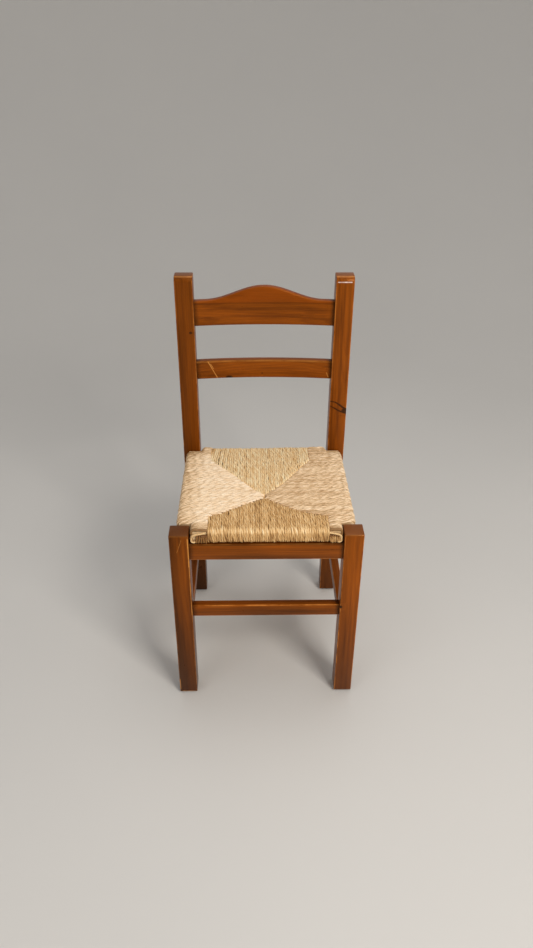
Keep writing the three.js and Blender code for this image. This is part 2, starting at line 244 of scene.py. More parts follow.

# Each upright's tone, the height and the least brightness of its dark foot, and the strength
# of the worn rim round its top. On the rear posts the dark foot is painted shadow of the seat;
# the front legs are only darker towards the floor.
UPRIGHTS = {
    "front_leg_left": (0.72, 0.34, 0.38, 0.12),
    "front_leg_right": (1.2, 0.34, 0.48, 0.12),
    "rear_post_left": (0.85, 0.45, 0.14, 0.45),
    "rear_post_right": (1.1, 0.45, 0.42, 0.45),
}
RAIL_TONES = {
    "crest_rail": 1.1,
    "middle_rail": 1.03,
    "front_apron": 1.07,
    "front_stretcher": 1.25,
    "rear_apron": 0.9,
    "rear_stretcher": 0.9,
}
SIDE_RAIL_TONE = 0.95

# The two branches of the right post's crack: x, z and half the width in mm at each point.
UPPER_CRACK = (
    (0.158, 0.593, 2.0), (0.171, 0.5905, 2.4), (0.181, 0.584, 3.2),
    (0.191, 0.5755, 3.6), (0.2, 0.5705, 3.6),
)
LOWER_CRACK = (
    (0.158, 0.581, 1.6), (0.1695, 0.5748, 2.6), (0.1796, 0.568, 2.6),
    (0.1896, 0.564, 3.4), (0.2, 0.5605, 3.0),
)


class Timber:
    """What makes one wooden piece differ from the next."""

    def __init__(self, node, along, tone):
        self.node = node
        self.along = along
        self.tone = tone
        self.low, self.high = (Vector(corner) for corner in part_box(node))
        self.centre = (self.low + self.high) / 2
        self.half = (self.high - self.low) / 2
        self.knots = []  # (place, size) of each dark knot
        self.cracks = []  # (from, to, half width) of each thin dark line
        self.scratches = []  # the same, pale
        self.painted_glints = []  # the same, nearly white: painted highlights
        self.across = (1.0, 1.0)  # painted shade: brightness at the piece's low and high X side
        self.figure = 1.0  # strength of the broad light and dark figure
        self.dark_foot = None  # (height, least brightness) of a darker lower part, painted shadow on the rear posts
        self.end_grain_above = None  # (height where the end grain starts, height where it is full)
        self.end_tone = 1.0
        self.rim = None  # (from height, to height, strength) of the worn edge round the top
        self.joints_at = None  # how far from the middle the piece meets its neighbours
        self.top_line = None  # height of a dark line along the piece, more orange above it
        self.shadow_along_top = None  # (height, least brightness) of the painted shadow along the upper edge, below the seat's rush

    def on_front(self, x, z):
        """A place on the piece's flat front face."""
        return (x, self.low.y, z)


class Pine(Tree):
    """The nodes of one piece's stained pine, with the patterns that its layers share."""

    def __init__(self, timber, seed):
        super().__init__(f"{timber.node}_pine")
        rng = random.Random(seed)
        self.timber = timber
        self.offset = tuple(rng.uniform(-5, 5) for _ in range(3))
        self.pith = (rng.uniform(-0.05, 0.05), rng.choice((-1, 1)) * rng.uniform(0.03, 0.06), 0.0)
        self.place = self.position()
        self.centred = self.vector("SUBTRACT", self.place, tuple(timber.centre))
        self.x = self.part(self.place, 0)
        self.height = self.part(self.place, 2)
        self.grain = self.grain_vector(rng.uniform(-0.03, 0.03))
        self.fibre = self.grain_noise(800, 20, 3.0, 0.65)
        self.streak = self.grain_noise(110, 3.2, 3.0, 0.62)
        self.band = self.grain_noise(34, 1.6, 2.0, 0.55)
        self.cloud = self.grain_noise(16, 5, 2.0, 0.5)
        self.wear = self.noise(self.grain, (55, 55, 26), 4.0, 0.62)
        self.knot_reaches = [self.knot_reach(*knot) for knot in timber.knots]
        self.late = self.late_wood()

    def grain_vector(self, lean):
        """The piece's own coordinates, turned so that the grain runs along their Z axis."""
        turn = (Matrix.Rotation(lean, 3, "X") @ GRAIN_ALONG[self.timber.along]).to_euler()
        inputs = {"Vector": self.centred, "Rotation": tuple(turn)}
        return self.node("VectorRotate", inputs, rotation_type="EULER_XYZ")

    def grain_noise(self, across, along, detail, roughness):
        return self.noise(self.grain, (across, across, along), detail, roughness, self.offset)

    def knot_reach(self, place, size):
        """How far from a knot's middle each point lies, as a multiple of the knot's size."""
        apart = self.vector("DIVIDE", self.vector("SUBTRACT", self.place, place), size)
        return self.vector("LENGTH", apart, output="Value")

    def late_wood(self):
        """1 in the dark part of each ring: they stand round a pith and bend round the knots."""
        flat = self.vector("MULTIPLY", self.vector("SUBTRACT", self.grain, self.pith), (1, 1, 0))
        distance = self.vector("LENGTH", flat, output="Value")
        wander = self.grain_noise(9, 2.2, 2.0, 0.5)
        distance = self.math("MULTIPLY_ADD", wander, RING_WANDER, distance)
        for reach in self.knot_reaches:
            swirl = self.math("POWER", math.e, self.product(self.product(reach, reach), -0.3))
            distance = self.math("MULTIPLY_ADD", swirl, KNOT_SWIRL, distance)
        ring = self.math("FRACT", self.math("DIVIDE", distance, RING_SPACING))
        return self.product(self.remap(ring, 0.2, 0.85, smooth=True), self.remap(ring, 1.0, 0.86))

    def from_dome_line(self):
        """How far each point lies above the wavy line along the crest rail."""
        wavy = self.strayed(self.height, self.band, 9 * MM)
        return self.math("SUBTRACT", wavy, self.timber.top_line)

    def line_mask(self, start, end, half_width):
        """1 on the line from start to end, running out to 0 at half_width from it."""
        start, end = Vector(start), Vector(end)
        direction = (end - start).normalized()
        away = self.vector("SUBTRACT", self.place, tuple(start))
        place = self.vector("DOT_PRODUCT", away, tuple(direction), output="Value")
        held = self.math("MINIMUM", self.math("MAXIMUM", place, 0.0), (end - start).length)
        scale = {0: tuple(direction), "Scale": held}
        on_line = self.node("VectorMath", scale, operation="SCALE")
        distance = self.vector("DISTANCE", away, on_line, output="Value")
        return self.remap(distance, half_width, half_width * 0.35, smooth=True)

    def line_masks(self, lines):
        return [self.line_mask(*line) for line in lines]


def stain(pine):
    """The stained rings and streaks, more orange on the crest rail's dome."""
    tone = pine.timber.tone
    early, late = times(EARLY_WOOD, tone), times(LATE_WOOD, tone)
    colour = pine.mix(pine.product(pine.late, 0.4), early, late)
    streaks = pine.remap(pine.streak, 0.47, 0.72, 0.0, 0.65)
    colour = pine.mix(streaks, colour, times(DARK_STREAK, tone))
    if pine.timber.top_line is None:
        return colour
    above = pine.remap(pine.from_dome_line(), -1.2 * MM, 1.2 * MM, smooth=True)
    return pine.mix(pine.product(above, 0.6), colour, times(DOME_WOOD, tone))


def brightness(pine):
    """The stain's lighter and darker parts, with some painted shade, as one factor."""
    timber = pine.timber
    clouds = pine.remap(pine.cloud, 0.3, 0.7, 0.84, 1.12)
    figure = pine.product(clouds, pine.remap(pine.band, 0.32, 0.68, 0.8, 1.14))
    figure = pine.math("MULTIPLY_ADD", pine.math("SUBTRACT", figure, 1.0), timber.figure, 1.0)
    factors = [figure, pine.remap(pine.fibre, 0.3, 0.7, 0.86, 1.12)]
    # Painted shade: the piece darker on one side across it and lighter on the other.
    if timber.across != (1.0, 1.0):
        sideways = pine.strayed(pine.x, pine.band, 18 * MM)
        factors.append(pine.remap(sideways, timber.low.x, timber.high.x, *timber.across))
    if timber.joints_at is not None:
        to_joint = pine.math("SUBTRACT", timber.joints_at, pine.math("ABSOLUTE", pine.x))
        to_joint = pine.strayed(to_joint, pine.cloud, 12 * MM)
        factors.append(pine.remap(to_joint, 0.0, JOINT_REACH, JOINT_SHADE, 1.0, smooth=True))
    if timber.top_line is not None:
        off_line = pine.math("ABSOLUTE", pine.from_dome_line())
        factors.append(pine.remap(off_line, 0.3 * MM, 2.6 * MM, DOME_LINE_SHADE, 1.0, smooth=True))
    # Darker towards the floor: on the rear posts, painted shadow of the seat.
    if timber.dark_foot is not None:
        reach, least = timber.dark_foot
        factors.append(pine.remap(pine.height, 0.0, reach, least, 1.0))
    return pine.product(*factors)


def add_end_grain(pine, colour):
    timber = pine.timber
    if timber.end_grain_above is None:
        return colour
    pores = pine.noise(pine.place, (500, 500, 500), 3.0, 0.7)
    end = times(END_GRAIN, timber.tone * timber.end_tone)
    cut = pine.mix(pores, times(end, 0.6), times(end, 1.5))
    return pine.mix(pine.remap(pine.height, *timber.end_grain_above), colour, cut)


def add_worn_edges(pine, colour):
    """Paler wood on the piece's rounded long edges, where the lacquer is worn."""
    timber = pine.timber
    away = pine.vector("ABSOLUTE", pine.centred)
    left = pine.vector("SUBTRACT", tuple(timber.half), away)
    across = [pine.part(left, index) for index, axis in enumerate("XYZ") if axis != timber.along]
    edges = pine.remap(pine.math("ADD", *across), EDGE_WEAR, EDGE_WEAR * 0.55, smooth=True)
    worn = pine.product(edges, pine.remap(pine.wear, 0.4, 0.62, 0.05, 0.8))
    return pine.mix(worn, colour, times(WORN_WOOD, timber.tone))


def add_rim(pine, colour):
    """The pale, broken line of the worn edge round the top."""
    if pine.timber.rim is None:
        return colour
    low, high, strength = pine.timber.rim
    from_low = pine.remap(pine.height, low, low + 0.8 * MM)
    to_high = pine.remap(pine.height, high, high - 0.8 * MM)
    broken = pine.remap(pine.wear, 0.35, 0.55, 0.3 * strength, strength)
    return pine.mix(pine.product(from_low, to_high, broken), colour, SCRATCH_PALE)


def add_painted_shadow(pine, colour):
    # Painted shadow that the seat's rush casts along the piece's upper edge.
    if pine.timber.shadow_along_top is None:
        return colour
    reach, least = pine.timber.shadow_along_top
    top = pine.timber.high.z
    under_rush_shadow = pine.remap(pine.height, top - reach, top - 0.4 * reach, 1.0, least, smooth=True)
    return pine.shaded(colour, under_rush_shadow, under_rush_shadow, under_rush_shadow)


def add_marks(pine, colour):
    """The piece's scratches, painted highlight lines, knots and cracks."""
    timber = pine.timber
    if timber.scratches:
        scratch = pine.strongest(pine.line_masks(timber.scratches))
        scratch = pine.product(scratch, pine.remap(pine.wear, 0.35, 0.5, 0.35, 1.0))
        colour = pine.mix(scratch, colour, SCRATCH_PALE)
    # Painted highlight lines, nearly white.
    if timber.painted_glints:
        glint = pine.strongest(pine.line_masks(timber.painted_glints))
        glint = pine.product(glint, pine.remap(pine.wear, 0.4, 0.55, 0.5, 1.0))
        colour = pine.mix(glint, colour, PAINTED_GLINT)
    dark = [pine.remap(reach, 1.1, 0.55, smooth=True) for reach in pine.knot_reaches]
    dark += pine.line_masks(timber.cracks)
    if dark:
        colour = pine.mix(pine.strongest(dark), colour, KNOT_DARK)
    return colour


def stained_pine(timber, seed):
    """Pine under a warm brown stain and a worn semi-gloss lacquer."""
    pine = Pine(timber, seed)
    factor = brightness(pine)
    colour = pine.shaded(stain(pine), factor, factor, factor)
    for layer in (add_end_grain, add_worn_edges, add_rim, add_painted_shadow, add_marks):
        colour = layer(pine, colour)
    relief = pine.math("ADD", pine.product(pine.late, 0.5), pine.fibre)
    values = {
        "Base Color": colour,
        "Roughness": pine.remap(pine.wear, 0.3, 0.75, 0.27, 0.44),
        "Specular IOR Level": 0.5,
        "Specular Tint": GLOSS_TINT,
        "Coat Weight": 0.05,
        "Coat Roughness": 0.12,
        "Normal": pine.bump(relief, 0.05 * MM, 0.5),
    }
    return pine.surface(values)


def dress(node, material):
    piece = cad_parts[node]
    piece.data.materials.clear()
    piece.data.materials.append(material)
    return piece


def smooth_by_angle(piece, group):
    """Welds the solid's split corners and shades its rounded edges smoothly, as modifiers."""
    weld = piece.modifiers.new("weld", "WELD")
    weld.merge_threshold = 0.01 * MM
    shade = piece.modifiers.new("smooth_by_angle", "NODES")
    shade.node_group = group


def smoothing_group(limit_degrees):
    """Geometry nodes that shade all faces smoothly but keep edges over the limit sharp."""
    group = bpy.data.node_groups.new("smooth_by_angle", "GeometryNodeTree")
    for direction in ("INPUT", "OUTPUT"):
        group.interface.new_socket("Geometry", in_out=direction, socket_type="NodeSocketGeometry")
    nodes = group.nodes
    link = group.links.new
    enter = nodes.new("NodeGroupInput")
    leave = nodes.new("NodeGroupOutput")
    faces = nodes.new("GeometryNodeSetShadeSmooth")
    faces.domain = "FACE"
    edges = nodes.new("GeometryNodeSetShadeSmooth")
    edges.domain = "EDGE"
    edges.inputs["Shade Smooth"].default_value = False
    angle = nodes.new("GeometryNodeInputMeshEdgeAngle")
    sharp = nodes.new("FunctionNodeCompare")
    sharp.data_type = "FLOAT"
    sharp.operation = "GREATER_THAN"
    sharp.inputs[1].default_value = math.radians(limit_degrees)
    link(enter.outputs[0], faces.inputs["Geometry"])
    link(faces.outputs["Geometry"], edges.inputs["Geometry"])
    link(angle.outputs["Unsigned Angle"], sharp.inputs[0])
    link(sharp.outputs[0], edges.inputs["Selection"])
    link(edges.outputs["Geometry"], leave.inputs[0])
    return group


def upright_timbers():
    cut = {}
    for node, (tone, foot_height, foot_shade, rim_strength) in UPRIGHTS.items():
        upright = Timber(node, "Z", tone)
        top = upright.high.z
        upright.dark_foot = (foot_height, foot_shade)
        upright.end_grain_above = (top - 3 * MM, top - 1 * MM)
        upright.rim = (top - 3 * MM, top - 0.4 * MM, rim_strength)
        cut[node] = upright
    # Painted shade: the left leg and left post darker on their outer, left side.
    cut["front_leg_left"].across = (0.62, 1.3)
    cut["rear_post_left"].across = (0.88, 1.1)
    for node in ("rear_post_left", "rear_post_right"):
        cut[node].end_tone = 1.3
    return cut


def rail_timbers():
    """The rails and stretchers: those along X first, then those along Y."""
    cut = {node: Timber(node, "X", tone) for node, tone in RAIL_TONES.items()}
    cut["crest_rail"].top_line = 0.8305
    for node in ("crest_rail", "middle_rail"):
        cut[node].joints_at = POST_INNER
    for node in ("front_apron", "front_stretcher"):
        cut[node].joints_at = LEG_INNER
        cut[node].figure = 2.0
    # Painted shadow below the rush seat, along the front apron's top.
    cut["front_apron"].shadow_along_top = (5 * MM, 0.42)
    rail_top = cut["middle_rail"].high.z
    cut["middle_rail"].rim = (rail_top - 4.5 * MM, rail_top, 0.3)
    for kind in ("apron", "stretcher"):
        for side in ("left", "right"):
            node = f"side_{kind}_{side}"
            cut[node] = Timber(node, "Y", SIDE_RAIL_TONE)
    return cut


def mark_posts(left, right):
    """A knot in the left post; in the right one a branched crack, a knot and a painted highlight."""
    left.knots.append((left.on_front(-0.168, 0.767), (0.0042, 0.015, 0.0036)))
    for curve in (UPPER_CRACK, LOWER_CRACK):
        for (x, z, width), (next_x, next_z, _) in zip(curve, curve[1:]):
            right.cracks.append((right.on_front(x, z), right.on_front(next_x, next_z), width * MM))
    right.knots.append((right.on_front(0.1945, 0.568), (0.009, 0.008, 0.006)))
    # A painted highlight on the rounded front edge below the post's top.
    height = right.high.z - 12.3 * MM
    right.painted_glints.append((right.on_front(0.163, height), right.on_front(0.193, height), 1.7 * MM))


def on_rail(x, z):
    """A place on the bowed front face of a back rail."""
    return (x, POST_FRONT + RAIL_SETBACK + RAIL_BOW * (1 - (x / POST_INNER) ** 2), z)


def mark_middle_rail(rail):
    rail.knots.append((on_rail(-0.083, 0.6505), (0.0095, 0.012, 0.004)))
    rail.knots.append((on_rail(-0.0045, 0.6583), (0.0016, 0.006, 0.0022)))
    rail.scratches.append((on_rail(-0.134, 0.6945), on_rail(-0.111, 0.6495), 1.3 * MM))
    rail.scratches.append((on_rail(-0.126, 0.684), on_rail(-0.119, 0.672), 1.0 * MM))
    rail.scratches.append((on_rail(0.148, 0.6625), on_rail(0.152, 0.652), 1.2 * MM))


def mark_legs(left, right):
    """A knot in the right leg; the left one is scratched along its edges and below its top."""
    right.knots.append((right.on_front(0.1655, 0.2685), (0.0042, 0.012, 0.0048)))
    inner_edge = left.high.x - 1.5 * MM
    for start, end, width in (
        ((inner_edge, 0.458), (inner_edge, 0.385), 1.7),
        ((inner_edge, 0.385), (inner_edge, 0.25), 0.7),
        ((-0.178, 0.4556), (-0.189, 0.423), 0.4),
        ((-0.2028, 0.046), (-0.2028, 0.014), 1.1),
        ((-0.198, 0.0068), (-0.168, 0.0062), 1.1),
    ):
        left.scratches.append((left.on_front(*start), left.on_front(*end), width * MM))


def dress_wood(smoothing):
    """Each wooden piece gets its own cut of timber, with the grain along it."""
    cut = {**upright_timbers(), **rail_timbers()}
    mark_posts(cut["rear_post_left"], cut["rear_post_right"])
    mark_middle_rail(cut["middle_rail"])
    mark_legs(cut["front_leg_left"], cut["front_leg_right"])
    for seed, timber in enumerate(cut.values()):
        smooth_by_angle(dress(timber.node, stained_pine(timber, seed)), smoothing)


# ---- Small and hidden parts ----


def plain_timber():
    """Unstained softwood, for the seat's frame and the corner blocks."""
    tree = Tree("plain_timber")
    position = tree.position()
    streak = tree.noise(position, (14, 140, 140), 3.0, 0.6)
    fibre = tree.noise(position, (60, 900, 900), 2.0, 0.6)
    colour = tree.ramp(streak, [(0.3, linear(196, 160, 112)), (0.7, linear(222, 192, 146))])
    shade = tree.remap(fibre, 0.3, 0.7, 0.9, 1.05)
    values = {
        "Base Color": tree.shaded(colour, shade, shade, shade),
        "Roughness": tree.remap(fibre, 0.3, 0.7, 0.6, 0.75),
        "Normal": tree.bump(fibre, 0.1 * MM, 0.6),
    }
    return tree.surface(values)


def mottled(name, waves, detail, colours, roughness, metallic=0.0, relief=None):
    """A surface of two colours in cloudy patches, each colour with its place in the noise."""
    tree = Tree(name)
    cloud = tree.noise(tree.position(), waves, *detail)
    if relief is not None:
        tree.surface({"Normal": tree.bump(cloud, *relief)})
    rough = tree.remap(cloud, 0.3, 0.7, *roughness)
    return tree.surface(
        {"Base Color": tree.ramp(cloud, colours), "Roughness": rough, "Metallic": metallic}
    )


def zinc_steel():
    colours = [(0.35, linear(150, 150, 152)), (0.7, linear(188, 188, 186))]
    return mottled("zinc_steel", (400, 400, 400), (3.0, 0.5), colours, (0.28, 0.45), metallic=1.0)


def glide_plastic():
    colours = [(0.35, linear(34, 28, 24)), (0.75, linear(66, 58, 50))]
    return mottled("glide_plastic", (250, 250, 250), (4.0, 0.6), colours, (0.5, 0.75))


def dress_small_parts(smoothing):
    timber, steel, plastic = plain_timber(), zinc_steel(), glide_plastic()
    for place in ("front", "rear", "left", "right"):
        dress(f"seat_rail_{place}", timber)
    for corner in ("front_left", "front_right", "rear_left", "rear_right"):
        dress(f"corner_block_{corner}", timber)
        smooth_by_angle(dress(f"seat_screw_{corner}", steel), smoothing)
        smooth_by_angle(dress(f"foot_glide_{corner}", plastic), smoothing)


# ---- The rush seat: its measures ----

SEAT_LOW, SEAT_HIGH = (Vector(corner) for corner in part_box("rush_seat"))

# The seat slopes down to the rear. Its cords are first laid level, at the heights that they have
# where the slope starts, behind the front legs, and then each point is lowered by the slope.
SEAT_SLOPE = 0.025
SEAT_TOP = 472.5 * MM
SEAT_BOTTOM = 438.5 * MM

CORD = 5.4 * MM  # the cord's diameter
PITCH = 4.7 * MM  # between the middles of cords that lie side by side
LOOSE_PITCH = 5.4 * MM  # the same, in the front corners
TWIST = -42 * MM  # one turn of the leaves in a cord; negative for this way of twisting
CORD_STEP = 2.4 * MM  # between the rings of points along a cord
CORD_SIDES = 10
SEAT_ROLL = 8.5 * MM  # radius of the bend over a rail's edge
SEAM_BEND = 4.5 * MM  # and of the bend down into a seam
SEAM_DEPTH = 9 * MM  # how deep a cord goes down there
SHORT_CORD = 14 * MM  # cords up to this length
SHORT_DEPTH = 5 * MM  # go down less
CROWN = 2.0 * MM  # how much higher the seat stands in its middle
REAR_CORNER_DROP = 7.5 * MM  # how much lower the cords lie in front of the posts
FRONT_CORNER_DROP = 4.0 * MM  # and behind the legs
CORNER_REACH = (7 * MM, 19 * MM)  # how far that reaches sideways and in depth
SEAM_LIFT = 1.4 * MM  # how much higher the cords on top of a seam lie
REAR_FAN = 8 * MM  # how far the rear panel's outermost left cords lean outwards at the seam
CORNER_RADIUS = 11 * MM  # of the corners, seen from above

FRONT_NOTCH_X = LEG_INNER - 3 * MM
REAR_NOTCH_X = POST_INNER - 3 * MM
FRONT_NOTCH_Y = LEG_BACK + 1.5 * MM
REAR_NOTCH_Y = POST_FRONT - 4 * MM

FRONT_LIP = 4.5 * MM  # how far back the front corners' short side cords end behind the edge
FRONT_CORNER_END = SEAT_LOW.y + FRONT_LIP + 4 * MM  # the front cords' ends in those corners
REAR_CORNER_END = SEAT_HIGH.y - 15 * MM  # the ends of the short rear cords beside the rear panel
CORNER_SLIT = 12 * MM  # how much lower the front cords start beside the slit in each front corner
CORNER_LEAN = {"left": 9 * MM, "right": 2 * MM}  # how far those cords fan out
CORNER_GAP = {"left": 9.5 * MM, "right": 3.5 * MM}  # between them and the corner's last cord


def in_metres(*points):
    return [(x * MM, y * MM) for x, y in points]


# Where the four panels meet, seen from above: each seam's points from the centre to the edge.
CENTRE_X = -3 * MM
SLIT = 4.2 * MM  # half the width of the short slit at the centre
FRONT_SEAM = {
    "left": in_metres((-3, -67), (-57, -98.8), (-89, -122.4), (-124, -138)),
    "right": in_metres((-3, -67), (42, -99.8), (74, -120.3), (108, -132.6), (132, -137)),
}
REAR_SEAM = {
    "left": in_metres((-3, -55), (-23, -37), (-57.5, 12), (-129, 107)),
    "right": in_metres((-3, -55), (37, -11.5), (59, 24.6), (108, 104)),
}
FRONT_LEFT_X, FRONT_RIGHT_X = (FRONT_SEAM[side][-1][0] for side in ("left", "right"))
REAR_LEFT_X, REAR_RIGHT_X = (REAR_SEAM[side][-1][0] for side in ("left", "right"))
SIGN = {"left": -1, "right": 1}  # of X on each side
ACROSS = {"X": (0.0, 1.0, 0.0), "Y": (1.0, 0.0, 0.0)}  # the sideways direction of cords along X, Y


def rise(value, start, length):
    """0 up to the start, an even rise over the length beyond it, then 1."""
    return np.clip((value - start) / length, 0, 1)


def crossing(points, value, given, wanted):
    """A seam's place on one axis where its other axis has this value."""
    ordered = sorted((point[given], point[wanted]) for point in points)
    return float(np.interp(value, *zip(*ordered)))


def cord_end(seam, x, beyond):
    """Where a cord of the front or rear panel ends at x: at the seam, or beyond its last point."""
    points = seam["left" if x < CENTRE_X else "right"]
    if abs(x) > abs(points[-1][0]):
        return beyond
    return crossing(points, x, 0, 1)


def side_cord_end(y, side):
    """How far in a cord of a side panel reaches at y."""
    front, rear = FRONT_SEAM[side], REAR_SEAM[side]
    if y < front[0][1]:
        return crossing(front, y, 1, 0)
    if y > rear[0][1]:
        return crossing(rear, y, 1, 0)
    return CENTRE_X + SIGN[side] * SLIT


def side_edge(y):
    """How far out the side panels reach at y: less in the notches at the legs and posts."""
    if y < FRONT_NOTCH_Y:
        return FRONT_NOTCH_X
    if y > REAR_NOTCH_Y:
        return REAR_NOTCH_X
    from_end = min(y - FRONT_NOTCH_Y, REAR_NOTCH_Y - y)
    if from_end > CORNER_RADIUS:
        return SEAT_HIGH.x
    sunk = CORNER_RADIUS - math.sqrt(max(0.0, CORNER_RADIUS**2 - (CORNER_RADIUS - from_end) ** 2))
    return SEAT_HIGH.x - sunk


def spread_places(low, high, pitch=PITCH):
    """Places for cords between two edges, about a pitch apart, with a cord's half at each edge."""
    low, high = low + CORD / 2, high - CORD / 2
    count = max(1, int(round((high - low) / pitch)))
    return [low + index * (high - low) / count for index in range(count + 1)]


# ---- The rush seat: its cords ----


def rounded_route(corners, radii, step):
    """Points at even steps along a route of straight runs with rounded corners."""
    fine = [corners[0]]
    for index in range(1, len(corners) - 1):
        corner = corners[index]
        back = corners[index - 1] - corner
        ahead = corners[index + 1] - corner
        reach = min(radii[index], back.length * 0.49, ahead.length * 0.49)
        start = corner + back.normalized() * reach
        end = corner + ahead.normalized() * reach
        for share in np.linspace(0, 1, 9):
            first = start.lerp(corner, share)
            second = corner.lerp(end, share)
            fine.append(first.lerp(second, share))
    fine.append(corners[-1])
    points = np.array([tuple(point) for point in fine])
    lengths = np.r_[0, np.cumsum(np.linalg.norm(np.diff(points, axis=0), axis=1))]
    keep = np.r_[True, np.diff(lengths) > 1e-9]
    points, lengths = points[keep], lengths[keep]
    count = max(8, int(round(lengths[-1] / step)))
    even = np.linspace(0, lengths[-1], count + 1)
    return np.stack([np.interp(even, lengths, points[:, axis]) for axis in range(3)], axis=1), even


def settled(points):
    """Lays level points on the real seat: crowned, lower at the corners, and sloped."""
    x, y, z = points.T
    share = rise(z, SEAT_BOTTOM, SEAT_TOP - SEAT_BOTTOM)
    middle_y = (SEAT_LOW.y + SEAT_HIGH.y) / 2
    half_depth = (SEAT_HIGH.y - SEAT_LOW.y) / 2
    crown_across = np.clip(1 - (x / SEAT_HIGH.x) ** 2, 0, 1)
    crown_deep = np.clip(1 - ((y - middle_y) / half_depth) ** 2, 0, 1)
    lift = CROWN * crown_across * crown_deep * share
    for corner_x, corner_y, drop in (
        (REAR_NOTCH_X, REAR_NOTCH_Y, REAR_CORNER_DROP),
        (FRONT_NOTCH_X, FRONT_NOTCH_Y, FRONT_CORNER_DROP),
    ):
        inwards = np.clip(corner_x + 2 * MM - np.abs(x), 0, None) / CORNER_REACH[0]
        away = np.hypot(inwards, (y - corner_y) / CORNER_REACH[1])
        lift -= drop * share * np.exp(-(away**2))
    fall = SEAT_SLOPE * (y - LEG_BACK)
    return np.stack([x, y, z + lift - fall], axis=1)


def tone_and_painted_light(points):
    """How much paler (or darker, below 0) the rush is at each point of a cord.

    It is paler on the bend over the front edge, a painted highlight, and darker on the vertical
    faces, painted shade. It is also paler at the right edge, and darker at the left edge and in
    the left corners.
    """
    x, y, z = points.T
    out = np.abs(x) / SEAT_HIGH.x
    # Painted highlight on the bend over the front edge.
    bend = np.exp(-(((y - SEAT_LOW.y - 6 * MM) / (7 * MM)) ** 2))
    bend = bend * (z > SEAT_TOP - 7 * MM) * (np.abs(x) < FRONT_RIGHT_X)
    # Painted shade on the vertical faces.
    face = rise(SEAT_TOP - z, 8 * MM, 10 * MM)
    side = rise(out, 0.72, 0.26) * np.where(x < 0, -0.26, 0.16)
    rear = rise(y, REAR_NOTCH_Y - 45 * MM, 40 * MM) * (x < -120 * MM)
    corner = rise(-x, 118 * MM, 8 * MM) * rise(LEG_BACK - y, 0, 8 * MM)
    return 0.13 * bend - 0.1 * face + side - 0.28 * rear - 0.3 * corner


def slit_shade(points):
    """How much painted shadow a side panel's cord gets at each point, beside the slit in a front corner.
    """
    x, y, _ = points.T
    return rise(FRONT_CORNER_END - y, 0, 1.5 * MM) * (np.abs(x) < FRONT_NOTCH_X - 1.5 * MM)


def smooth_noise(along, rng, wavelength):
    """A gentle random curve along a cord, between about -1 and 1."""
    total = np.zeros_like(along)
    for octave in (1.0, 0.53, 0.27):
        phase = rng.uniform(0, 2 * math.pi)
        total += math.sqrt(octave) * np.sin(2 * math.pi * along / (wavelength * octave) + phase)
    return total / 1.9


